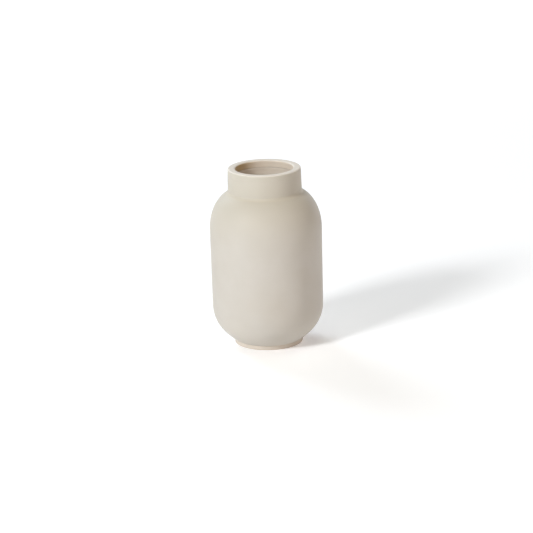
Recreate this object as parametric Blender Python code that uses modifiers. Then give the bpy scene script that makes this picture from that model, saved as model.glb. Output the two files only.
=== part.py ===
"""Ceramic bud vase: a straight-sided stoneware jar with a long rounded shoulder, a short wide neck and a low foot.

The pot is put together the way a potter makes it. A thrown vessel (floor, wall and shoulder) takes a neck collar
on a rebate at its mouth and a foot ring on a rebate under its floor. Both joints are luted with slip, which is
wiped into a fillet in the corner, and a coat of lining glaze makes the inside hold water.

Run it with: blender --background --python part.py
Units are metres, +Z is up, and the origin is the centre of the circle that the foot ring stands on.
Every piece is a turned one: an outline in the X-Z plane, carried round Z by a Screw modifier.
"""

from math import acos, asin, cos, radians, sin, sqrt

import bpy

MM = 0.001

# Overall
HEIGHT = 140 * MM
SEGMENTS = 48
JOINT_GAP = 0.3 * MM  # room for the slip between two pieces, and for the glaze on the clay
MERGE_DISTANCE = 0.001 * MM
SHARP_ANGLE = radians(35)

# Thrown vessel, outside: a wall that leans out a little, under an elliptical shoulder
BELLY_RADIUS = 43.6 * MM
BELLY_LEAN = 0.4 * MM  # how much narrower the wall is at its foot
SHOULDER_Z = 92.2 * MM
SHOULDER_REACH = 20.7 * MM
SHOULDER_RISE = 29.9 * MM

# Thrown vessel, outside, below the wall: a round corner that runs into a flatter sweep
CORNER_RADIUS = 29.2 * MM
CORNER_ANGLE = radians(44.5)
SWEEP_RADIUS = 75 * MM

# Thrown vessel, inside
WALL = 6 * MM
FLOOR = 6.3 * MM
INNER_CORNER_RADIUS = 20 * MM

# Neck collar
NECK_TOP_RADIUS = 28.4 * MM
NECK_BASE_RADIUS = 28.75 * MM
NECK_SEAT_Z = 120.6 * MM
MOUTH_RADIUS = 22.4 * MM
LIP_OUTER_ROUND = 1.45 * MM
LIP_INNER_ROUND = 1.3 * MM
LIP_LAND = 4 * MM  # band of bare clay inside the lip, above the glaze

# Foot ring
FOOT_RADIUS = 26.6 * MM
FOOT_TOP_RADIUS = 26.8 * MM
FOOT_HEIGHT = 3.4 * MM
FOOT_BORE = 20.5 * MM
FOOT_EDGE_ROUND = 0.8 * MM

# Rebates that centre the collar and the ring while the slip is wet
NECK_REBATE_RADIUS = 25.6 * MM
NECK_REBATE_DEPTH = 1.5 * MM
FOOT_REBATE_RADIUS = 23.3 * MM
FOOT_REBATE_DEPTH = 1 * MM

# Slip fillets and glaze
NECK_FILLET = 1.8 * MM
FOOT_FILLET = 1.5 * MM
FILLET_TIP = 0.2 * MM  # the slip is wiped down to this thickness at its edges
GLAZE = 0.5 * MM

# Worked out from the sizes above
WALL_FOOT_RADIUS = BELLY_RADIUS - BELLY_LEAN
SHOULDER_CENTRE_RADIUS = BELLY_RADIUS - SHOULDER_REACH
CORNER_CENTRE_RADIUS = WALL_FOOT_RADIUS - CORNER_RADIUS
SWEEP_CENTRE_RADIUS = CORNER_CENTRE_RADIUS - (SWEEP_RADIUS - CORNER_RADIUS) * cos(CORNER_ANGLE)
SWEEP_CENTRE_Z = FOOT_HEIGHT + sqrt(SWEEP_RADIUS**2 - (FOOT_TOP_RADIUS - SWEEP_CENTRE_RADIUS) ** 2)
CORNER_Z = SWEEP_CENTRE_Z - (SWEEP_RADIUS - CORNER_RADIUS) * sin(CORNER_ANGLE)
FOOT_SEAT_Z = FOOT_HEIGHT + JOINT_GAP
RECESS_Z = FOOT_SEAT_Z + FOOT_REBATE_DEPTH
FLOOR_Z = RECESS_Z + FLOOR
NECK_BORE = MOUTH_RADIUS + GLAZE + JOINT_GAP
GLAZE_TOP_Z = HEIGHT - LIP_INNER_ROUND - LIP_LAND - JOINT_GAP


def arc(centre, radii, start, end, steps):
    """Points of an ellipse with upright axes, from angle start to angle end: centre + (a cos t, b sin t)."""
    (x, z), (across, up) = centre, radii
    turn = (end - start) / steps
    angles = [start + turn * i for i in range(steps + 1)]
    return [(x + across * cos(t), z + up * sin(t)) for t in angles]


def quarter(centre, radius, start, steps=3):
    """A quarter turn, clockwise from the angle start."""
    return arc(centre, (radius, radius), start, start - radians(90), steps)


def shoulder_height(radius):
    """Height of the outside of the shoulder at a distance from the axis."""
    across = (radius - SHOULDER_CENTRE_RADIUS) / SHOULDER_REACH
    return SHOULDER_Z + SHOULDER_RISE * sqrt(1 - across**2)


def hollow(inset=0.0):
    """The inside of the vessel's clay from the floor's centre up to the neck, or a surface inset from it."""
    corner = INNER_CORNER_RADIUS - inset
    centre_radius = WALL_FOOT_RADIUS - WALL - INNER_CORNER_RADIUS
    centre_z = FLOOR_Z + INNER_CORNER_RADIUS
    across = SHOULDER_REACH - WALL - inset
    up = SHOULDER_RISE - WALL - inset
    neck_angle = acos((NECK_BORE - inset - SHOULDER_CENTRE_RADIUS) / across)
    floor = [(0, FLOOR_Z + inset)]
    bend = arc((centre_radius, centre_z), (corner, corner), radians(-90), 0, 7)
    shoulder = arc((SHOULDER_CENTRE_RADIUS, SHOULDER_Z), (across, up), 0, neck_angle, 7)
    return floor + bend + shoulder


def vessel_outline():
    """Floor, wall and shoulder in one: up the inside, over the two rebated seats, and down the outside."""
    mouth = [
        (NECK_BORE, NECK_SEAT_Z - NECK_REBATE_DEPTH),
        (NECK_REBATE_RADIUS, NECK_SEAT_Z - NECK_REBATE_DEPTH),
        (NECK_REBATE_RADIUS, NECK_SEAT_Z),
    ]
    top_angle = asin((NECK_SEAT_Z - SHOULDER_Z) / SHOULDER_RISE)
    shoulder_centre = (SHOULDER_CENTRE_RADIUS, SHOULDER_Z)
    shoulder = arc(shoulder_centre, (SHOULDER_REACH, SHOULDER_RISE), top_angle, 0, 9)
    corner_centre = (CORNER_CENTRE_RADIUS, CORNER_Z)
    corner = arc(corner_centre, (CORNER_RADIUS, CORNER_RADIUS), 0, -CORNER_ANGLE, 7)
    seat_angle = asin((FOOT_SEAT_Z - SWEEP_CENTRE_Z) / SWEEP_RADIUS)
    sweep_centre = (SWEEP_CENTRE_RADIUS, SWEEP_CENTRE_Z)
    sweep = arc(sweep_centre, (SWEEP_RADIUS, SWEEP_RADIUS), -CORNER_ANGLE, seat_angle, 3)
    underside = [
        (FOOT_REBATE_RADIUS, FOOT_SEAT_Z),
        (FOOT_REBATE_RADIUS, RECESS_Z),
        (0, RECESS_Z),
    ]
    return hollow() + mouth + shoulder + corner + sweep[1:] + underside


def collar_outline():
    """Neck collar: a round lip, a straight neck, and a tongue that drops into the vessel's rebate."""
    foot_z = NECK_SEAT_Z + JOINT_GAP
    tongue_radius = NECK_REBATE_RADIUS - JOINT_GAP
    tongue_z = foot_z - NECK_REBATE_DEPTH
    land_z = HEIGHT - LIP_INNER_ROUND - LIP_LAND
    outer_centre = (NECK_TOP_RADIUS - LIP_OUTER_ROUND, HEIGHT - LIP_OUTER_ROUND)
    inner_centre = (MOUTH_RADIUS + LIP_INNER_ROUND, HEIGHT - LIP_INNER_ROUND)
    base = [
        (NECK_BASE_RADIUS, foot_z),
        (tongue_radius, foot_z),
        (tongue_radius, tongue_z),
        (NECK_BORE, tongue_z),
        (NECK_BORE, land_z),
        (MOUTH_RADIUS, land_z),
    ]
    lip_outside = quarter(outer_centre, LIP_OUTER_ROUND, radians(90), steps=4)
    lip_inside = quarter(inner_centre, LIP_INNER_ROUND, radians(180), steps=4)
    return lip_outside + base + lip_inside


def foot_outline():
    """Foot ring: round-edged underneath, with a tongue on top that rises into the rebate under the floor."""
    outer_centre = (FOOT_RADIUS - FOOT_EDGE_ROUND, FOOT_EDGE_ROUND)
    inner_centre = (FOOT_BORE + FOOT_EDGE_ROUND, FOOT_EDGE_ROUND)
    tongue_radius = FOOT_REBATE_RADIUS - JOINT_GAP
    top = [
        (FOOT_BORE, FOOT_HEIGHT + FOOT_REBATE_DEPTH),
        (tongue_radius, FOOT_HEIGHT + FOOT_REBATE_DEPTH),
        (tongue_radius, FOOT_HEIGHT),
        (FOOT_TOP_RADIUS, FOOT_HEIGHT),
    ]
    return quarter(outer_centre, FOOT_EDGE_ROUND, 0) + quarter(inner_centre, FOOT_EDGE_ROUND, radians(-90)) + top


def hollow_face(start, corner, end, steps=4):
    """Points of a quadratic curve that leaves start towards the corner, and runs into end from the corner."""
    shares = [i / steps for i in range(steps + 1)]
    return [
        tuple((1 - t) ** 2 * a + 2 * (1 - t) * t * b + t**2 * c for a, b, c in zip(start, corner, end))
        for t in shares
    ]


def neck_slip_outline():
    """Fillet of slip in the corner between the collar and the shoulder: a hollow face over the shoulder's slope."""
    back_radius = NECK_BASE_RADIUS + JOINT_GAP
    tip_radius = back_radius + NECK_FILLET
    base_z = NECK_SEAT_Z + JOINT_GAP
    tip_z = shoulder_height(tip_radius) + JOINT_GAP
    start = (back_radius, base_z + NECK_FILLET)
    corner = (back_radius + FILLET_TIP, base_z + FILLET_TIP)
    end = (tip_radius, tip_z + FILLET_TIP)
    middle_radius = back_radius + NECK_FILLET / 2
    middle = (middle_radius, shoulder_height(middle_radius) + JOINT_GAP)
    return hollow_face(start, corner, end) + [(tip_radius, tip_z), middle, (back_radius, base_z)]


def foot_slip_outline():
    """Fillet of slip in the corner between the foot ring's bore and the floor's underside."""
    back_radius = FOOT_BORE - JOINT_GAP
    tip_radius = back_radius - FOOT_FILLET
    top_z = RECESS_Z - JOINT_GAP
    start = (tip_radius, top_z - FILLET_TIP)
    corner = (back_radius - FILLET_TIP, top_z - FILLET_TIP)
    end = (back_radius - FILLET_TIP, top_z - FOOT_FILLET)
    back = [(back_radius, top_z - FOOT_FILLET), (back_radius, top_z), (tip_radius, top_z)]
    return (hollow_face(start, corner, end) + back)[::-1]


def glaze_outline():
    """Coat of glaze over the whole inside, from the floor to just under the lip."""
    inside = hollow(JOINT_GAP + GLAZE)
    outside = hollow(JOINT_GAP)
    edge_radius = MOUTH_RADIUS + GLAZE / 2
    top = [
        (MOUTH_RADIUS, GLAZE_TOP_Z - GLAZE / 2),
        (edge_radius, GLAZE_TOP_Z),
        (MOUTH_RADIUS + GLAZE, GLAZE_TOP_Z - GLAZE / 2),
    ]
    return inside + top + outside[::-1]


def ceramic(name, colour, roughness):
    """Material for fired clay, slip or glaze, from a linear RGB colour."""
    made = bpy.data.materials.new(name)
    made.use_nodes = True
    shader = made.node_tree.nodes["Principled BSDF"]
    shader.inputs["Base Color"].default_value = (*colour, 1)
    shader.inputs["Roughness"].default_value = roughness
    shader.inputs["Metallic"].default_value = 0
    return made


def turned_piece(name, outline, material, collection):
    """One solid of revolution. An outline that starts on the axis ends there too, and any other is a closed loop."""
    loop = outline[0][0] > 0
    count = len(outline)
    edges = [(i, i + 1) for i in range(count - 1)]
    if loop:
        edges.append((count - 1, 0))
    mesh = bpy.data.meshes.new(name)
    mesh.from_pydata([(radius, 0, z) for radius, z in outline], edges, [])
    piece = bpy.data.objects.new(name, mesh)
    collection.objects.link(piece)

    turning = piece.modifiers.new("Turning", "SCREW")
    turning.axis = "Z"
    turning.angle = radians(360)
    turning.steps = SEGMENTS
    turning.render_steps = SEGMENTS
    turning.use_merge_vertices = not loop
    turning.merge_threshold = MERGE_DISTANCE

    graph = bpy.context.evaluated_depsgraph_get()
    solid = bpy.data.meshes.new_from_object(piece.evaluated_get(graph))
    piece.modifiers.clear()
    piece.data = solid
    bpy.data.meshes.remove(mesh)
    solid.name = name
    solid.materials.append(material)
    solid.shade_smooth()
    solid.set_sharp_from_angle(angle=SHARP_ANGLE)
    return piece


def main():
    for leftover in list(bpy.data.objects):
        bpy.data.objects.remove(leftover)
    vase = bpy.data.collections.new("bud_vase")
    bpy.context.scene.collection.children.link(vase)

    stoneware = ceramic("stoneware", (0.70, 0.64, 0.56), 0.75)
    slip = ceramic("slip", (0.70, 0.64, 0.56), 0.8)
    glaze = ceramic("lining_glaze", (0.66, 0.59, 0.50), 0.4)

    turned_piece("vessel_body", vessel_outline(), stoneware, vase)
    turned_piece("neck_collar", collar_outline(), stoneware, vase)
    turned_piece("foot_ring", foot_outline(), stoneware, vase)
    turned_piece("neck_slip_fillet", neck_slip_outline(), slip, vase)
    turned_piece("foot_slip_fillet", foot_slip_outline(), slip, vase)
    turned_piece("lining_glaze", glaze_outline(), glaze, vase)


main()
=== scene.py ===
"""Ceramic bud vase, finished: the thrown vessel, its neck collar and foot ring, the slip that joins them
and the glaze that lines them, on a pale studio floor.

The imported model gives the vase's own sizes. Each piece here is a profile carried round the vase's axis,
with the marks of the wheel as relief on the surface. Units are metres, +Z is up, and the vase stands on
z = 0.
"""

from math import acos, asin, ceil, degrees, pi, radians, sqrt

import bpy
import numpy as np
from bpy.props import FloatProperty, FloatVectorProperty, PointerProperty
from mathutils import Euler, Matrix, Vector


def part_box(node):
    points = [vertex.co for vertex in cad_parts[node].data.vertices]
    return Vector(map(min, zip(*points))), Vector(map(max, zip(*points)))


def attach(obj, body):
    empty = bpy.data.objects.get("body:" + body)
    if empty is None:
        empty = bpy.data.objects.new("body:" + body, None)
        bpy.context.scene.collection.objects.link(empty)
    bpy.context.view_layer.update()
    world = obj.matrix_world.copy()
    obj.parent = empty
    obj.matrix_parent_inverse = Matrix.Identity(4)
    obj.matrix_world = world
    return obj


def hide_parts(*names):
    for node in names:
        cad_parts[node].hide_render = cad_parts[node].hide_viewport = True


bl_info = {
    "name": "Ceramic Bud Vase",
    "version": (1, 0, 0),
    "blender": (4, 5, 0),
    "location": "3D View > Sidebar > Bud Vase",
    "description": "Turns a small stoneware vase piece by piece and sets it up in a studio",
    "category": "Add Mesh",
}

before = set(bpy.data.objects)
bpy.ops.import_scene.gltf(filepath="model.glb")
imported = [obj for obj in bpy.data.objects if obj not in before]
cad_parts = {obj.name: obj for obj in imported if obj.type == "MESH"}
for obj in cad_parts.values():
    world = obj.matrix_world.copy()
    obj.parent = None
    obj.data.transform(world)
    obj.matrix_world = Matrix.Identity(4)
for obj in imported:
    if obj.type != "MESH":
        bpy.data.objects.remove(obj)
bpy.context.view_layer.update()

MM = 0.001
TURN = 2 * pi

COAT = 0.5 * MM  # thickness of the lining glaze
GAP = 0.3 * MM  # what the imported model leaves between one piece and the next

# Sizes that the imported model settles
HEIGHT = float(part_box("neck_collar")[1][2])
BELLY_RADIUS = float(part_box("vessel_body")[1][0])
COLLAR_RADIUS = float(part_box("neck_collar")[1][0])
SEAT_Z = float(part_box("vessel_body")[1][2])
FOOT_RADIUS = float(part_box("foot_ring")[1][0])
UNDERSIDE_Z = float(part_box("vessel_body")[0][2])
RECESS_Z = float(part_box("foot_slip_fillet")[1][2]) + GAP
GLAZE_TOP_Z = float(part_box("lining_glaze")[1][2])
GLAZE_FLOOR_Z = float(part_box("lining_glaze")[0][2]) + COAT

# How finely the surfaces are cut
SEGMENTS = 224
FINE = 0.35 * MM
MEDIUM = 0.8 * MM
COARSE = 2.5 * MM
HAIRLINE = 0.03 * MM  # what is left of a joint once the slip has filled it
TOUCHING = 0.0001 * MM  # points closer than this are one point
SHARP_ANGLE = radians(38)  # an edge that turns more than this is shaded sharp

NOISE = {"From Min": 0.3, "From Max": 0.7}  # where nearly all of a noise texture's values lie
LIGHT_DISTANCE = 2.2  # metres, from the vase's middle to each light


def linear(hex_colour):
    """Linear RGBA of an sRGB hex colour."""
    values = np.array([int(hex_colour[i : i + 2], 16) for i in (0, 2, 4)]) / 255
    return (*np.where(values <= 0.04045, values / 12.92, ((values + 0.055) / 1.055) ** 2.4).tolist(), 1)


def length(name, default, description):
    """A size in metres that a user can change."""
    return FloatProperty(
        name=name,
        description=description,
        default=default,
        min=0,
        precision=5,
        unit="LENGTH",
        subtype="DISTANCE",
    )


def turn(name, angle, description):
    """An angle that a user can change, given here in degrees."""
    return FloatProperty(name=name, description=description, default=radians(angle), subtype="ANGLE")


def power(name, default, description):
    """A light's power in watts, which a user can change."""
    return FloatProperty(name=name, description=description, default=default, min=0, unit="POWER")


def tint(name, hex_colour, description):
    """A colour that a user can change."""
    return FloatVectorProperty(
        name=name,
        description=description,
        default=linear(hex_colour),
        size=4,
        min=0,
        max=1,
        subtype="COLOR",
    )


# -------------------------------------------------------------------------------- settings


class VesselSettings(bpy.types.PropertyGroup):
    """The thrown vessel: floor, wall and shoulder."""

    lean: length("Lean", 0.4 * MM, "How much narrower the wall is at its foot than at its top")
    shoulder_z: length("Shoulder height", 92.2 * MM, "Height at which the wall turns into the shoulder")
    shoulder_reach: length("Shoulder reach", 20.7 * MM, "Level half axis of the shoulder's ellipse")
    shoulder_rise: length("Shoulder rise", 29.9 * MM, "Upright half axis of the shoulder's ellipse")
    corner: length("Lower corner", 29.2 * MM, "Radius of the round corner under the wall")
    corner_turn: turn("Corner turn", 44.5, "How far the lower corner turns in before the sweep takes over")
    sweep: length("Sweep", 75 * MM, "Radius of the flatter sweep from the corner in to the foot")
    wall: length("Wall", 6 * MM, "Thickness of the clay")
    inner_corner: length("Inner corner", 20 * MM, "Radius inside, between floor and wall")
    ring_depth: length("Throwing rings", 0.11 * MM, "Height of the finger ridges, from middle to crest")
    ring_pitch: length("Ring pitch", 3.4 * MM, "How far the fingers rise in one turn of the wheel")


class CollarSettings(bpy.types.PropertyGroup):
    """The neck collar and its lip."""

    top_radius: length("Lip radius", 28.4 * MM, "Outside radius of the neck just under the lip")
    mouth_radius: length("Mouth radius", 22.4 * MM, "Radius of the opening")
    lip_out: length("Lip, outwards", 1.0 * MM, "Rounding of the lip's outer edge, measured across")
    lip_down: length("Lip, downwards", 1.45 * MM, "Rounding of the lip's outer edge, measured down")
    lip_inner: length("Lip, inside", 1.3 * MM, "Rounding of the lip's inner edge")
    rebate_radius: length("Rebate radius", 25.6 * MM, "Radius of the step that centres the collar")
    rebate_depth: length("Rebate depth", 1.5 * MM, "How far the collar's tongue drops into the vessel")
    fillet: length("Slip fillet", 1.9 * MM, "Reach of the slip up the neck and out over the shoulder")
    line_depth: length("Turning lines", 0.1 * MM, "Depth of the tool lines under the lip")


class FootSettings(bpy.types.PropertyGroup):
    """The foot ring."""

    standing_radius: length("Standing radius", 26.6 * MM, "Outside radius where the ring meets the table")
    bore: length("Bore", 20.5 * MM, "Inside radius of the ring")
    edge: length("Edge", 0.8 * MM, "Rounding of the ring's two lower edges")
    rebate_radius: length("Rebate radius", 23.3 * MM, "Radius of the step that centres the ring")
    fillet: length("Slip fillet", 1.6 * MM, "Reach of the slip up the floor and down the ring")


class FinishSettings(bpy.types.PropertyGroup):
    """Colours of the fired surfaces."""

    clay_light: tint("Stoneware, light", "C8C3BB", "Matte stoneware where it is palest")
    clay_dark: tint("Stoneware, dark", "C3BDB3", "Matte stoneware in its faint clouds")
    # Takes over towards the neck, so that the clay there is a little darker and warmer.
    clay_high: tint("Stoneware, high", "C3BDB0", "Matte stoneware near the neck, where the fire was hotter")
    # Painted highlight: this paler colour on top of the lip stands in for the light that falls on it from
    # above.
    lip: tint("Lip", "E1DBD2", "Matte stoneware on top of the lip, where the glaze is thin")
    # Painted light: the slip is a little lighter than the clay beside it, to lift the shade in the crease
    # round the neck.
    slip: tint("Slip", "C8C2B4", "Slip in the joints")
    slip_drag: tint("Slip, dragged", "C3BCAD", "Slip where the finger dragged it thin")
    bare_light: tint("Bare clay, light", "D4CBBF", "Unglazed foot where it is palest")
    bare_dark: tint("Bare clay, dark", "C5B8A8", "Unglazed foot where it is rubbed")
    lining_light: tint("Lining, light", "DBC6AA", "Lining glaze on the ridges, where it runs thin")
    stain: tint("Stain", "DBCFBF", "Inside of the lip, which the lining glaze has stained")
    # Also the painted shade on the left of the mouth's inside, where the lip shades it.
    lining_dark: tint("Lining, dark", "C7AF86", "Lining glaze where it pools, and its stain")
    floor: tint("Floor", "FBFCFE", "Studio floor")


class StageSettings(bpy.types.PropertyGroup):
    """The camera, and how strong each light is."""

    elevation: turn("Elevation", 16, "Camera's height above the level of the vase")
    roll: turn("Roll", -1.68, "Camera's turn about its own axis")
    distance: length("Distance", 2051.5 * MM, "From the camera to the vase's middle")
    aim_across: length("Aim across", 0.4 * MM, "How far left of the vase's middle the camera aims")
    aim_drop: length("Aim drop", 9.4 * MM, "How far below the vase's middle the camera aims")
    key_power: power("Key", 37, "Power of the soft light at front left")
    fill_power: power("Fill", 11.7, "Power of the weaker light on the right")
    top_power: power("Top", 10.2, "Power of the light overhead")
    back_power: power("Back", 24, "Power of the light behind, on the left")
    rim_power: power("Rim", 13, "Power of the low light behind, on the right")
    warm: tint("Warm", "FFE7D6", "Colour of the fill, which comes back off a cream wall")
    straw: tint("Straw", "FEFFEE", "Colour of the light overhead")
    cool: tint("Cool", "EBF4FF", "Colour of the two lights behind, which is a window's")
    table_glow: FloatProperty(
        name="Table glow",
        description="Light that comes up through the table under the vase",
        default=0.165,
        min=0,
        max=1,
        subtype="FACTOR",
    )


SETTINGS = {
    "bud_vase_vessel": VesselSettings,
    "bud_vase_collar": CollarSettings,
    "bud_vase_foot": FootSettings,
    "bud_vase_finish": FinishSettings,
    "bud_vase_stage": StageSettings,
}


# -------------------------------------------------------------------------------- profiles


def line(start, end, spacing):
    """Points along a straight run, no further apart than spacing."""
    start, end = np.array(start), np.array(end)
    steps = max(1, ceil(np.linalg.norm(end - start) / spacing))
    return start + (end - start) * np.linspace(0, 1, steps + 1)[:, None]


def arc(centre, radii, start, end, spacing):
    """Points of an upright ellipse: centre + (across cos t, up sin t), where t is in degrees."""
    steps = max(3, ceil(max(radii) * abs(radians(end - start)) / spacing))
    t = np.radians(np.linspace(start, end, steps + 1))
    return np.column_stack((centre[0] + radii[0] * np.cos(t), centre[1] + radii[1] * np.sin(t)))


def hollow_face(start, corner, end, steps=10):
    """A quadratic curve that leaves start towards the corner and runs into end from the corner."""
    t = np.linspace(0, 1, steps + 1)[:, None]
    return (1 - t) ** 2 * np.array(start) + 2 * (1 - t) * t * np.array(corner) + t**2 * np.array(end)


def shoulder_height(vessel, radius):
    """The shoulder's height at a radius: the ellipse z = centre + rise sqrt(1 - (x / reach)^2)."""
    across = (radius - (BELLY_RADIUS - vessel.shoulder_reach)) / vessel.shoulder_reach
    return vessel.shoulder_z + vessel.shoulder_rise * sqrt(1 - across**2)


def neck_radius(collar, height):
    """The neck's outside radius at a height: a straight taper from its base up to the lip's rounding."""
    share = (height - SEAT_Z) / (HEIGHT - collar.lip_down - SEAT_Z)
    return COLLAR_RADIUS + (collar.top_radius - COLLAR_RADIUS) * share


def inside_of_vessel(vessel, floor_z, inset, mouth, spacing):
    """The inside from the floor's centre up to the mouth: floor, round corner, wall and elliptical shoulder,
    all moved inwards from the clay's surface by inset."""
    wall_radius = BELLY_RADIUS - vessel.lean - vessel.wall
    corner = vessel.inner_corner - inset
    corner_centre = (wall_radius - vessel.inner_corner, floor_z + corner)
    shoulder_centre = (BELLY_RADIUS - vessel.shoulder_reach, vessel.shoulder_z)
    radii = (vessel.shoulder_reach - vessel.wall - inset, vessel.shoulder_rise - vessel.wall - inset)
    mouth_angle = degrees(acos((mouth - shoulder_centre[0]) / radii[0]))
    floor = line((0, floor_z), (corner_centre[0], floor_z), spacing)
    bend = arc(corner_centre, (corner, corner), -90, 0, spacing)
    wall = line(bend[-1], (shoulder_centre[0] + radii[0], vessel.shoulder_z), spacing)
    shoulder = arc(shoulder_centre, radii, 0, mouth_angle, spacing)
    return np.vstack((floor, bend, wall, shoulder))


# -------------------------------------------------------------------------------- marks of the wheel


def out_of_round(height, angle):
    """How far a thrown pot strays from a true circle, as a share of its radius: an oval that twists slowly
    up the pot, with a weaker three-sided wave on it."""
    oval = 0.0016 * np.cos(2 * angle + 0.7 + height / (38 * MM))
    three_sided = 0.0006 * np.cos(3 * angle - 1.3 - height / (27 * MM))
    return 1 + oval + three_sided


def spiral(along, angle, pitch, depth):
    """Ridges that climb one pitch a turn: depth cos(2 pi along / pitch - angle), where slow waves along the
    profile crowd the ridges here and spread them there, and make some deeper than others."""
    crowding = 0.9 * np.sin(TURN * along / (4.7 * pitch))
    strength = 0.65 + 0.35 * np.cos(TURN * along / (3.1 * pitch) + 1)
    return depth * strength * np.cos(TURN * along / pitch + crowding - angle)


def groove(along, angle, place, width, depth, towards):
    """One tool line round the pot: a bell-shaped groove, deepest at the angle it is turned towards."""
    return -depth * np.exp(-(((along - place) / width) ** 2)) * (0.55 + 0.45 * np.cos(angle - towards))


def fade(along, start, end):
    """0 before start, 1 after end, and a smooth step between them."""
    t = np.clip((along - start) / (end - start), 0, 1)
    return t * t * (3 - 2 * t)


def unmarked(radius, height, angle):
    """No relief."""
    return 0 * radius * angle


def turned(name, *runs):
    """A surface of revolution as a mesh. Each run is an array of points, of a radius and a height each, and
    the relief on them. The runs follow on from one another down the outer side, so that the faces point
    outwards. The point (u, v) is the outline's point u carried round Z to the angle v. It is moved along the
    outline's outward normal by relief(radius, height, angle), and its radius is then multiplied by
    out_of_round. An outline that starts on the axis is closed by two poles, and any other by joining its
    last point to its first."""
    angle = np.linspace(0, TURN, SEGMENTS, endpoint=False)
    outline = np.vstack([points for points, relief in runs])
    moved = np.vstack([relief(points[:, :1], points[:, 1:], angle) for points, relief in runs])
    apart = np.linalg.norm(outline - np.roll(outline, 1, axis=0), axis=1) > TOUCHING
    outline, moved = outline[apart], moved[apart]
    along = np.roll(outline, -1, axis=0) - np.roll(outline, 1, axis=0)
    along_r, along_z = np.split(along / np.linalg.norm(along, axis=1, keepdims=True), 2, axis=1)
    height = outline[:, 1:] + along_r * moved
    radius = (outline[:, :1] - along_z * moved) * out_of_round(height, angle)
    grid = np.stack((radius * np.cos(angle), radius * np.sin(angle), height), axis=2)

    poles = outline[0, 0] < TOUCHING
    grid = grid[1:-1] if poles else grid
    rows = np.arange(len(grid) * SEGMENTS).reshape(-1, SEGMENTS)
    after = np.roll(rows, -1, axis=1)
    quads = np.stack((rows, np.roll(rows, -1, axis=0), np.roll(after, -1, axis=0), after), axis=2)
    quads = quads[:-1] if poles else quads
    vertices, faces = grid.reshape(-1, 3).tolist(), quads.reshape(-1, 4).tolist()
    if poles:
        pole = np.full(SEGMENTS, rows.size)
        vertices += [(0, 0, outline[0, 1]), (0, 0, outline[-1, 1])]
        faces += np.column_stack((pole, rows[0], after[0])).tolist()
        faces += np.column_stack((rows[-1], pole + 1, after[-1])).tolist()

    mesh = bpy.data.meshes.new(name)
    mesh.from_pydata(vertices, [], faces)
    mesh.shade_smooth()
    mesh.set_sharp_from_angle(angle=SHARP_ANGLE)
    piece = bpy.data.objects.new(name, mesh)
    bpy.context.scene.collection.objects.link(piece)
    return piece


def fit(piece, node, material):
    """Dresses a finished piece and lets it stand for its CAD node, on the vase's one body."""
    piece.data.materials.append(material)
    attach(piece, "root")
    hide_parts(node)


# -------------------------------------------------------------------------------- materials


def plug(tree, node, inputs):
    """Sets a node's inputs to values, or links them to other nodes' outputs. An input goes by its name, or
    by its place where two share a name. Only the inputs in use are looked at."""
    sockets = [socket for socket in node.inputs if socket.enabled]
    names = [socket.name for socket in sockets]
    for key, value in inputs.items():
        socket = sockets[key if isinstance(key, int) else names.index(key)]
        if isinstance(value, bpy.types.NodeSocket):
            tree.links.new(value, socket)
        else:
            socket.default_value = value


def add(tree, kind, inputs, output=None, **settings):
    """Adds a node with its settings and links. Gives back the output named, or else the first in use."""
    node = tree.nodes.new("ShaderNode" + kind)
    for key, value in settings.items():
        setattr(node, key, value)
    plug(tree, node, inputs)
    outputs = [socket for socket in node.outputs if socket.enabled and output in (None, socket.name)]
    return outputs[0] if outputs else None


def blank(name):
    """A new material: its tree, its shader and the object coordinates that its patterns read."""
    material = bpy.data.materials.new(name)
    material.use_nodes = True
    tree = material.node_tree
    return material, tree, tree.nodes["Principled BSDF"], add(tree, "TexCoord", {}, "Object")


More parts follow.
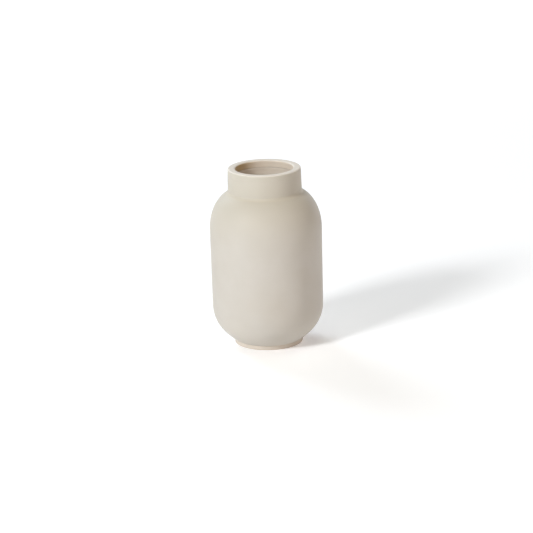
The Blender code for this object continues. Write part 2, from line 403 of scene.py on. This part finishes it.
def matte_stoneware(finish):
    """White stoneware under a thin dry matte glaze, sponged smooth on the wheel before it was fired. It
    spreads light evenly with only a breath of sheen. Clouds 26 mm wide come from the glaze's thickness,
    level streaks 1.1 mm high from the wheel, and a tooth of 0.5 mm grains from the dry surface. Its colour
    grows a little darker and warmer towards the neck, a painted highlight makes the top of the lip paler,
    and the lining glaze that was wiped off the inside of the lip has stained it, with painted shade that
    makes the stain browner on the left, where the lip shades the inside of the mouth."""
    material, tree, shader, place = blank("matte_stoneware")
    level = add(tree, "Mapping", {"Vector": place, "Scale": (0.06, 0.06, 1)})
    height = add(tree, "SeparateXYZ", {"Vector": place}, "Z")
    clouds = add(tree, "TexNoise", {"Vector": place, "Scale": 1 / (26 * MM), "Detail": 3})
    streaks = add(tree, "TexNoise", {"Vector": level, "Scale": 1 / (1.1 * MM), "Detail": 2})
    tooth = add(tree, "TexNoise", {"Vector": place, "Scale": 1 / (0.5 * MM), "Detail": 3, "Roughness": 0.6})
    cloudy = add(tree, "MapRange", {"Value": clouds, **NOISE, "To Max": 0.8})
    shade = add(tree, "Math", {0: streaks, 1: 0.25, 2: cloudy}, operation="MULTIPLY_ADD", use_clamp=True)
    clay = {"Factor": shade, "A": finish.clay_light, "B": finish.clay_dark}
    low = add(tree, "Mix", clay, data_type="RGBA")
    # The colour grows a little darker and warmer from half way up towards the neck.
    climb = {"Value": height, "From Min": HEIGHT / 2, "From Max": HEIGHT - 12 * MM}
    toward_neck = add(tree, "MapRange", climb, interpolation_type="SMOOTHSTEP")
    body = add(tree, "Mix", {"Factor": toward_neck, "A": low, "B": finish.clay_high}, data_type="RGBA")
    flat = add(tree, "Mapping", {"Vector": place, "Scale": (1, 1, 0)})
    radius = add(tree, "VectorMath", {0: flat}, operation="LENGTH")
    mouth = bpy.context.scene.bud_vase_collar.mouth_radius
    at_mouth = {"Value": radius, "From Min": mouth + 0.9 * MM, "From Max": mouth + 0.3 * MM}
    inwards = add(tree, "MapRange", at_mouth)
    above = add(tree, "MapRange", {"Value": height, "From Min": SEAT_Z, "From Max": GLAZE_TOP_Z})
    wiped = add(tree, "Math", {0: inwards, 1: above}, operation="MULTIPLY")
    # Painted shade: the stain inside the lip turns browner towards the left, where the lip shades the inside
    # of the mouth.
    across = add(tree, "SeparateXYZ", {"Vector": place}, "X")
    poured = add(tree, "MapRange", {"Value": across, "From Min": -6 * MM, "From Max": -19 * MM})
    stain_and_left_shade = {"Factor": poured, "A": finish.stain, "B": finish.lining_dark}
    stain = add(tree, "Mix", stain_and_left_shade, data_type="RGBA")
    stained = add(tree, "Mix", {"Factor": wiped, "A": body, "B": stain}, data_type="RGBA")
    # Painted highlight: a narrow band on top of the lip is coloured paler, for the light from above.
    lip_highlight_band = {"Value": height, "From Min": HEIGHT - 0.9 * MM, "From Max": HEIGHT - 0.2 * MM}
    thin = add(tree, "MapRange", lip_highlight_band, interpolation_type="SMOOTHSTEP")
    colour = add(tree, "Mix", {"Factor": thin, "A": stained, "B": finish.lip}, data_type="RGBA")
    relief = add(tree, "Math", {0: streaks, 1: 0.3, 2: tooth}, operation="MULTIPLY_ADD")
    bump = add(tree, "Bump", {"Height": relief, "Strength": 0.3, "Distance": 0.05 * MM})
    sheen = add(tree, "MapRange", {"Value": clouds, **NOISE, "To Min": 0.6, "To Max": 0.7})
    plug(tree, shader, {"Base Color": colour, "Roughness": sheen, "IOR": 1.45, "Normal": bump})
    return material


def bare_stoneware(finish):
    """The same clay left bare, as potters leave a foot so that it can't stick to the kiln shelf. It is a
    little yellower and rougher than the glazed clay, gritty at 0.4 mm, and rubbed darker where it meets the
    table."""
    material, tree, shader, place = blank("bare_stoneware")
    level = add(tree, "Mapping", {"Vector": place, "Scale": (0.08, 0.08, 1)})
    height = add(tree, "SeparateXYZ", {"Vector": place}, "Z")
    grit = add(tree, "TexNoise", {"Vector": place, "Scale": 1 / (0.4 * MM), "Detail": 4, "Roughness": 0.65})
    streaks = add(tree, "TexNoise", {"Vector": level, "Scale": 1 / (0.7 * MM), "Detail": 2})
    at_edge = {"Value": height, "From Min": 0.1 * MM, "From Max": 0.9 * MM, "To Min": 0.4, "To Max": 0}
    rubbed = add(tree, "MapRange", at_edge, interpolation_type="SMOOTHSTEP")
    streaky = add(tree, "Math", {0: streaks, 1: 0.3, 2: rubbed}, operation="MULTIPLY_ADD")
    shade = add(tree, "Math", {0: grit, 1: 0.35, 2: streaky}, operation="MULTIPLY_ADD", use_clamp=True)
    clay = {"Factor": shade, "A": finish.bare_light, "B": finish.bare_dark}
    colour = add(tree, "Mix", clay, data_type="RGBA")
    relief = add(tree, "Math", {0: streaks, 1: 0.6, 2: grit}, operation="MULTIPLY_ADD")
    bump = add(tree, "Bump", {"Height": relief, "Strength": 0.5, "Distance": 0.06 * MM})
    plug(tree, shader, {"Base Color": colour, "Roughness": 0.82, "IOR": 1.45, "Normal": bump})
    return material


def luting_slip(finish):
    """Clay and water stirred to cream, wiped along the joint with a wet finger. It is coloured a little
    lighter than the clay beside it, as painted light that lifts the shade in the crease, and keeps the
    finger's level drag marks, 0.6 mm high."""
    material, tree, shader, place = blank("luting_slip")
    level = add(tree, "Mapping", {"Vector": place, "Scale": (0.05, 0.05, 1)})
    drag = add(tree, "TexNoise", {"Vector": level, "Scale": 1 / (0.6 * MM), "Detail": 2})
    colour = add(tree, "Mix", {"Factor": drag, "A": finish.slip, "B": finish.slip_drag}, data_type="RGBA")
    bump = add(tree, "Bump", {"Height": drag, "Strength": 0.3, "Distance": 0.04 * MM})
    plug(tree, shader, {"Base Color": colour, "Roughness": 0.68, "IOR": 1.45, "Normal": bump})
    return material


def lining_glaze(finish):
    """A satin liner glaze, poured in and swirled out again, so that the inside holds water. It is thin and
    pale on the throwing ridges, pools warmer between them, and has a low, broken gloss."""
    material, tree, shader, place = blank("lining_glaze")
    level = add(tree, "Mapping", {"Vector": place, "Scale": (0.1, 0.1, 1)})
    runs = add(tree, "TexNoise", {"Vector": level, "Scale": 1 / (2.2 * MM), "Detail": 3})
    pools = add(tree, "TexNoise", {"Vector": place, "Scale": 1 / (9 * MM), "Detail": 3})
    pinholes = add(tree, "TexNoise", {"Vector": place, "Scale": 1 / (0.6 * MM), "Detail": 2})
    pooled = add(tree, "MapRange", {"Value": pools, **NOISE, "To Max": 0.4})
    streaked = add(tree, "MapRange", {"Value": runs, **NOISE, "To Max": 0.6})
    shade = add(tree, "Math", {0: pooled, 1: streaked}, operation="ADD")
    glaze = {"Factor": shade, "A": finish.lining_light, "B": finish.lining_dark}
    colour = add(tree, "Mix", glaze, data_type="RGBA")
    gloss = add(tree, "MapRange", {"Value": pools, **NOISE, "To Min": 0.38, "To Max": 0.5})
    bump = add(tree, "Bump", {"Height": pinholes, "Strength": 0.2, "Distance": 0.04 * MM})
    plug(tree, shader, {"Base Color": colour, "Roughness": gloss, "Normal": bump})
    return material


def light_table(finish, glow):
    """White acrylic sheet with a dull face, lit from below: weakly for 1.2 m round the vase, and fully from
    3 m out, so that it runs on into a white backdrop. Its fine tooth is too small to see from here, so it is
    drawn at 1.5 mm."""
    material, tree, shader, place = blank("light_table")
    away = add(tree, "VectorMath", {0: place}, operation="LENGTH")
    lit = add(tree, "MapRange", {"Value": away, "From Min": 1.2, "From Max": 3, "To Min": glow})
    fibre = add(tree, "TexNoise", {"Vector": place, "Scale": 1 / (1.5 * MM), "Detail": 2})
    bump = add(tree, "Bump", {"Height": fibre, "Strength": 0.1, "Distance": 0.05 * MM})
    plug(tree, shader, {"Base Color": finish.floor, "Roughness": 0.9, "Specular IOR Level": 0.2})
    plug(tree, shader, {"Normal": bump, "Emission Color": (1, 1, 1, 1), "Emission Strength": lit})
    return material


def finished(maker):
    """The material that a maker gives, made once and then shared."""
    return bpy.data.materials.get(maker.__name__) or maker(bpy.context.scene.bud_vase_finish)


# -------------------------------------------------------------------------------- pieces


class BUDVASE_OT_vessel(bpy.types.Operator):
    """Throw the vessel: floor, wall and shoulder, with a rebate for the collar and one for the foot ring"""

    bl_idname = "bud_vase.vessel"
    bl_label = "Vessel"

    def execute(self, context):
        vessel = context.scene.bud_vase_vessel
        collar = context.scene.bud_vase_collar
        foot = context.scene.bud_vase_foot
        neck_bore = collar.mouth_radius + COAT + GAP
        clay_floor = GLAZE_FLOOR_Z - COAT - GAP
        ledge_z = SEAT_Z - collar.rebate_depth

        inside = inside_of_vessel(vessel, clay_floor, 0, neck_bore, COARSE)
        ledge = line((neck_bore, ledge_z), (collar.rebate_radius, ledge_z), COARSE)
        step = line(ledge[-1], (collar.rebate_radius, SEAT_Z), COARSE)

        shoulder_centre = (BELLY_RADIUS - vessel.shoulder_reach, vessel.shoulder_z)
        seat_angle = degrees(asin((SEAT_Z - vessel.shoulder_z) / vessel.shoulder_rise))
        shoulder_radii = (vessel.shoulder_reach, vessel.shoulder_rise)
        shoulder = arc(shoulder_centre, shoulder_radii, seat_angle, 0, MEDIUM)

        low_radius = BELLY_RADIUS - vessel.lean
        corner_angle = degrees(vessel.corner_turn)
        corner_radius = low_radius - vessel.corner
        sweep_extra = vessel.sweep - vessel.corner
        sweep_radius = corner_radius - sweep_extra * np.cos(vessel.corner_turn)
        crease_z = UNDERSIDE_Z - GAP
        sweep_z = crease_z + sqrt(vessel.sweep**2 - (FOOT_RADIUS - sweep_radius) ** 2)
        corner_z = sweep_z - sweep_extra * np.sin(vessel.corner_turn)
        corner = arc((corner_radius, corner_z), (vessel.corner, vessel.corner), 0, -corner_angle, MEDIUM)
        edge_angle = degrees(asin((UNDERSIDE_Z - sweep_z) / vessel.sweep))
        sweep_radii = (vessel.sweep, vessel.sweep)
        sweep = arc((sweep_radius, sweep_z), sweep_radii, -corner_angle, edge_angle, MEDIUM)
        wall = line(shoulder[-1], corner[0], MEDIUM)

        seat = line(sweep[-1], (foot.rebate_radius, UNDERSIDE_Z), COARSE)
        recess = line((foot.rebate_radius, RECESS_Z), (0, RECESS_Z), MEDIUM)

        def waves(radius, height, angle):
            """The rib's level waves on the outside, 7.3 mm and 2.9 mm apart."""
            return spiral(height, angle, 7.3 * MM, 0.01 * MM) + spiral(height, angle, 2.9 * MM, 0.002 * MM)

        def trimming(radius, height, angle):
            """The trimming tool's spiral on the underside, which dies away at the middle and at the ring."""
            there = fade(radius, 1.5 * MM, 5 * MM) * (1 - fade(radius, foot.bore - 2 * MM, foot.bore))
            return spiral(radius, angle, 2.2 * MM, 0.05 * MM) * there

        outside = np.vstack((shoulder, wall, corner, sweep))
        bare = np.vstack((inside, ledge, step))
        runs = ((bare, unmarked), (outside, waves), (seat, unmarked), (recess, trimming))
        fit(turned("thrown_vessel", *runs), "vessel_body", finished(matte_stoneware))
        return {"FINISHED"}


class BUDVASE_OT_collar(bpy.types.Operator):
    """Turn the neck collar: a rounded lip, a straight neck and a tongue that drops into the vessel"""

    bl_idname = "bud_vase.collar"
    bl_label = "Neck collar"

    def execute(self, context):
        collar = context.scene.bud_vase_collar
        base_z = SEAT_Z + HAIRLINE
        tongue_radius = collar.rebate_radius - HAIRLINE
        tongue_z = base_z - collar.rebate_depth
        bore = collar.mouth_radius + COAT + GAP
        land_z = GLAZE_TOP_Z + GAP
        outer_centre = (collar.top_radius - collar.lip_out, HEIGHT - collar.lip_down)
        inner_centre = (collar.mouth_radius + collar.lip_inner, HEIGHT - collar.lip_inner)

        outer_lip = arc(outer_centre, (collar.lip_out, collar.lip_down), 90, 0, FINE / 2)
        neck = line(outer_lip[-1], (COLLAR_RADIUS, base_z), FINE / 2)
        base = line(neck[-1], (tongue_radius, base_z), COARSE)
        tongue = line((tongue_radius, tongue_z), (bore, tongue_z), COARSE)
        behind_glaze = line(tongue[-1], (bore, land_z), COARSE)
        land = line((collar.mouth_radius, land_z), (collar.mouth_radius, inner_centre[1]), FINE)
        inner_lip = arc(inner_centre, (collar.lip_inner, collar.lip_inner), 180, 90, FINE / 2)
        top = line(inner_lip[-1], outer_lip[0], FINE)

        def ripple(radius, height, angle):
            """The soft, slow ripple that a wet sponge leaves on top of the lip."""
            on_top = fade(height, HEIGHT - 1.1 * MM, HEIGHT - 0.3 * MM)
            return 0.03 * MM * np.cos(3 * angle + 1) * np.cos(angle) * on_top

        def tooled(radius, height, angle):
            """The ripple on the lip, three tool lines close under it, and faint waves down the neck."""
            depth = collar.line_depth
            first = groove(height, angle, HEIGHT - 2.1 * MM, 0.4 * MM, depth, radians(-70))
            second = groove(height, angle, HEIGHT - 3.2 * MM, 0.35 * MM, depth * 0.7, radians(-50))
            third = groove(height, angle, HEIGHT - 4.6 * MM, 0.45 * MM, depth, radians(-80))
            below = 1 - fade(height, HEIGHT - 5 * MM, HEIGHT - 2 * MM)
            waves = spiral(height, angle, 5.1 * MM, 0.012 * MM) * below
            return ripple(radius, height, angle) + first + second + third + waves

        outside = np.vstack((outer_lip, neck))
        hidden = np.vstack((base, tongue, behind_glaze, land))
        lip = np.vstack((inner_lip, top))
        piece = turned("collar", (outside, tooled), (hidden, unmarked), (lip, ripple))
        fit(piece, "neck_collar", finished(matte_stoneware))
        return {"FINISHED"}


class BUDVASE_OT_foot(bpy.types.Operator):
    """Turn the foot ring: round edges underneath and a tongue on top, under the vessel's floor"""

    bl_idname = "bud_vase.foot"
    bl_label = "Foot ring"

    def execute(self, context):
        foot = context.scene.bud_vase_foot
        top_z = UNDERSIDE_Z - HAIRLINE
        tongue_radius = foot.rebate_radius - HAIRLINE
        tongue_z = RECESS_Z - HAIRLINE
        outer_centre = (foot.standing_radius - foot.edge, foot.edge)
        inner_centre = (foot.bore + foot.edge, foot.edge)

        side = line((FOOT_RADIUS, top_z), (foot.standing_radius, foot.edge), FINE)
        outer_edge = arc(outer_centre, (foot.edge, foot.edge), 0, -90, FINE / 2)
        inner_edge = arc(inner_centre, (foot.edge, foot.edge), -90, -180, FINE / 2)
        sole = line(outer_edge[-1], inner_edge[0], MEDIUM)
        bore = line(inner_edge[-1], (foot.bore, tongue_z), MEDIUM)
        tongue = line(bore[-1], (tongue_radius, tongue_z), COARSE)
        ledge = line((tongue_radius, top_z), (FOOT_RADIUS, top_z), COARSE)
        outline = np.vstack((side, outer_edge, sole, inner_edge, bore, tongue, ledge))
        fit(turned("foot", (outline, unmarked)), "foot_ring", finished(bare_stoneware))
        return {"FINISHED"}


class BUDVASE_OT_slip(bpy.types.Operator):
    """Wipe the slip into its two fillets: round the neck, and round the inside of the foot"""

    bl_idname = "bud_vase.slip"
    bl_label = "Slip fillets"

    def execute(self, context):
        vessel = context.scene.bud_vase_vessel
        collar = context.scene.bud_vase_collar
        foot = context.scene.bud_vase_foot

        high = SEAT_Z + collar.fillet
        start = (neck_radius(collar, high) + HAIRLINE, high)
        radius = COLLAR_RADIUS + collar.fillet
        end = (radius, shoulder_height(vessel, radius) + HAIRLINE)
        slope = (shoulder_height(vessel, radius - FINE) - shoulder_height(vessel, radius)) / FINE
        corner = (start[0], end[1] + slope * (end[0] - start[0]))
        face = hollow_face(start, corner, end)
        middle = COLLAR_RADIUS + collar.fillet / 2
        underneath = (middle, shoulder_height(vessel, middle) + HAIRLINE)
        back = np.array((underneath, (COLLAR_RADIUS + HAIRLINE, SEAT_Z + HAIRLINE)))

        def drag(radius, height, angle):
            """The finger's pressure, more here and less there, and none at the feathered tips."""
            there = fade(height, end[1], end[1] + FINE) * (1 - fade(height, high - FINE, high))
            return 0.012 * MM * np.cos(5 * angle + 0.4) * np.cos(2 * angle - 1) * there

        piece = turned("neck_slip", (face, drag), (back, unmarked))
        fit(piece, "neck_slip_fillet", finished(luting_slip))

        roof_z = RECESS_Z - HAIRLINE
        wall_radius = foot.bore - HAIRLINE
        upper = (wall_radius - foot.fillet, roof_z)
        lower = (wall_radius, roof_z - foot.fillet)
        face = hollow_face(upper, (wall_radius, roof_z), lower)
        back = np.array([(wall_radius, roof_z)])
        piece = turned("foot_slip", (face, unmarked), (back, unmarked))
        fit(piece, "foot_slip_fillet", finished(luting_slip))
        return {"FINISHED"}


class BUDVASE_OT_lining(bpy.types.Operator):
    """Line the inside with glaze, over the ridges that the potter's fingers left"""

    bl_idname = "bud_vase.lining"
    bl_label = "Lining glaze"

    def execute(self, context):
        vessel = context.scene.bud_vase_vessel
        collar = context.scene.bud_vase_collar
        edge_z = GLAZE_TOP_Z - COAT / 2
        inner = inside_of_vessel(vessel, GLAZE_FLOOR_Z, GAP + COAT, collar.mouth_radius, MEDIUM)
        neck = line(inner[-1], (collar.mouth_radius, edge_z), FINE)
        edge = arc((collar.mouth_radius + COAT / 2, edge_z), (COAT / 2, COAT / 2), 180, 0, COAT / 4)
        outer = inside_of_vessel(vessel, GLAZE_FLOOR_Z - COAT, GAP, collar.mouth_radius + COAT, COARSE)

        def rings(radius, height, angle):
            """Throwing rings: a spiral up the wall, a wider whorl on the floor, hardly any between."""
            below_edge = 1 - fade(height, GLAZE_TOP_Z - 1.5 * MM, GLAZE_TOP_Z - COAT)
            on_wall = fade(height, 16 * MM, 30 * MM) * below_edge
            on_floor = fade(radius, 2 * MM, 8 * MM) * (1 - fade(height, 12 * MM, 20 * MM))
            fingers = spiral(height, angle, vessel.ring_pitch, vessel.ring_depth)
            skin = spiral(height, angle, 1.3 * MM, 0.018 * MM)
            whorl = spiral(radius, angle, 4.2 * MM, 0.16 * MM)
            return (fingers + skin) * on_wall + whorl * on_floor

        shown = np.vstack((inner, neck))
        hidden = np.vstack((edge, outer[::-1]))
        piece = turned("lining", (shown, rings), (hidden, unmarked))
        fit(piece, "lining_glaze", finished(lining_glaze))
        return {"FINISHED"}


# -------------------------------------------------------------------------------- studio


def softbox(name, direction, size, watts, colour=(1, 1, 1, 1)):
    """A square soft light, size metres across, that looks at the vase's middle from a direction: an
    azimuth and an elevation in degrees. Azimuth 0 is in front of the vase, on the -Y side, and 90 is on its
    right."""
    light = bpy.data.lights.new(name, "AREA")
    light.shape = "SQUARE"
    light.size = size
    light.energy = watts
    light.color = colour[:3]
    lamp = bpy.data.objects.new(name, light)
    azimuth, elevation = np.radians(direction)
    level = np.cos(elevation)
    out = Vector((np.sin(azimuth) * level, -np.cos(azimuth) * level, np.sin(elevation)))
    lamp.location = Vector((0, 0, HEIGHT / 2)) + out * LIGHT_DISTANCE
    lamp.rotation_euler = out.to_track_quat("Z", "Y").to_euler()
    lamp.visible_camera = False
    bpy.context.scene.collection.objects.link(lamp)


def add_floor(finish, glow):
    """A square of light table, wide enough to reach the horizon from a low camera."""
    reach = 12
    corners = [(-reach, -reach, 0), (reach, -reach, 0), (reach, reach, 0), (-reach, reach, 0)]
    mesh = bpy.data.meshes.new("studio_floor")
    mesh.from_pydata(corners, [], [(0, 1, 2, 3)])
    mesh.materials.append(light_table(finish, glow))
    floor = bpy.data.objects.new("studio_floor", mesh)
    bpy.context.scene.collection.objects.link(floor)


def add_world():
    """White all round as the camera sees it, and a weak even light on the vase."""
    scene = bpy.context.scene
    scene.world = bpy.data.worlds.new("studio")
    scene.world.use_nodes = True
    tree = scene.world.node_tree
    tree.nodes.clear()
    seen = add(tree, "Background", {"Color": (1, 1, 1, 1), "Strength": 1.0})
    lit = add(tree, "Background", {"Color": (1, 1, 1, 1), "Strength": 0.02})
    straight = add(tree, "LightPath", {}, "Is Camera Ray")
    both = add(tree, "MixShader", {0: straight, 1: lit, 2: seen})
    add(tree, "OutputWorld", {"Surface": both})


def add_camera(stage):
    """A long lens, a little above the vase, that looks down at it and leans by a degree or two."""
    middle = Vector((0, 0, HEIGHT / 2))
    tilt = stage.elevation
    back = Vector((0, -np.cos(tilt), np.sin(tilt)))
    up = Vector((0, np.sin(tilt), np.cos(tilt)))
    camera = bpy.data.objects.new("camera", bpy.data.cameras.new("camera"))
    camera.location = middle + back * stage.distance
    aim = middle - up * stage.aim_drop - Vector((stage.aim_across, 0, 0))
    look = (camera.location - aim).to_track_quat("Z", "Y").to_matrix()
    camera.rotation_euler = (look @ Euler((0, 0, stage.roll)).to_matrix()).to_euler()
    camera.data.sensor_width = 36
    camera.data.lens = 177.8
    camera.data.clip_start = 0.05
    camera.data.clip_end = 60
    bpy.context.scene.collection.objects.link(camera)
    bpy.context.scene.camera = camera


class BUDVASE_OT_studio(bpy.types.Operator):
    """Set up the studio: a light table, five soft lights round the vase, and the camera"""

    bl_idname = "bud_vase.studio"
    bl_label = "Studio"

    def execute(self, context):
        scene = context.scene
        stage = scene.bud_vase_stage
        add_floor(scene.bud_vase_finish, stage.table_glow)
        add_world()
        softbox("key_light", (-45, 30), 0.5, stage.key_power)
        softbox("fill_light", (60, 32), 1.0, stage.fill_power, stage.warm)
        softbox("top_light", (0, 85), 1.0, stage.top_power, stage.straw)
        softbox("back_light", (-150, 30), 1.0, stage.back_power, stage.cool)
        softbox("rim_light", (150, 12), 1.0, stage.rim_power, stage.cool)
        add_camera(stage)
        scene.view_settings.view_transform = "Standard"
        return {"FINISHED"}


# -------------------------------------------------------------------------------- add-on

OPERATORS = (
    BUDVASE_OT_vessel,
    BUDVASE_OT_collar,
    BUDVASE_OT_foot,
    BUDVASE_OT_slip,
    BUDVASE_OT_lining,
    BUDVASE_OT_studio,
)


class BUDVASE_PT_panel(bpy.types.Panel):
    """Every piece of the vase as a button, with its sizes and colours underneath"""

    bl_idname = "BUDVASE_PT_panel"
    bl_label = "Bud Vase"
    bl_space_type = "VIEW_3D"
    bl_region_type = "UI"
    bl_category = "Bud Vase"

    def draw(self, context):
        for operator in OPERATORS:
            self.layout.operator(operator.bl_idname)
        for name, group in SETTINGS.items():
            box = self.layout.box()
            for key in group.__annotations__:
                box.prop(getattr(context.scene, name), key)


def register():
    for group in SETTINGS.values():
        bpy.utils.register_class(group)
    for name, group in SETTINGS.items():
        setattr(bpy.types.Scene, name, PointerProperty(type=group))
    for kind in (*OPERATORS, BUDVASE_PT_panel):
        bpy.utils.register_class(kind)


def unregister():
    for kind in (BUDVASE_PT_panel, *reversed(OPERATORS)):
        bpy.utils.unregister_class(kind)
    for name in SETTINGS:
        delattr(bpy.types.Scene, name)
    for group in SETTINGS.values():
        bpy.utils.unregister_class(group)


def main():
    """Makes every piece and the studio."""
    register()
    bpy.ops.bud_vase.vessel()
    bpy.ops.bud_vase.collar()
    bpy.ops.bud_vase.foot()
    bpy.ops.bud_vase.slip()
    bpy.ops.bud_vase.lining()
    bpy.ops.bud_vase.studio()


if __name__ == "__main__":
    main()
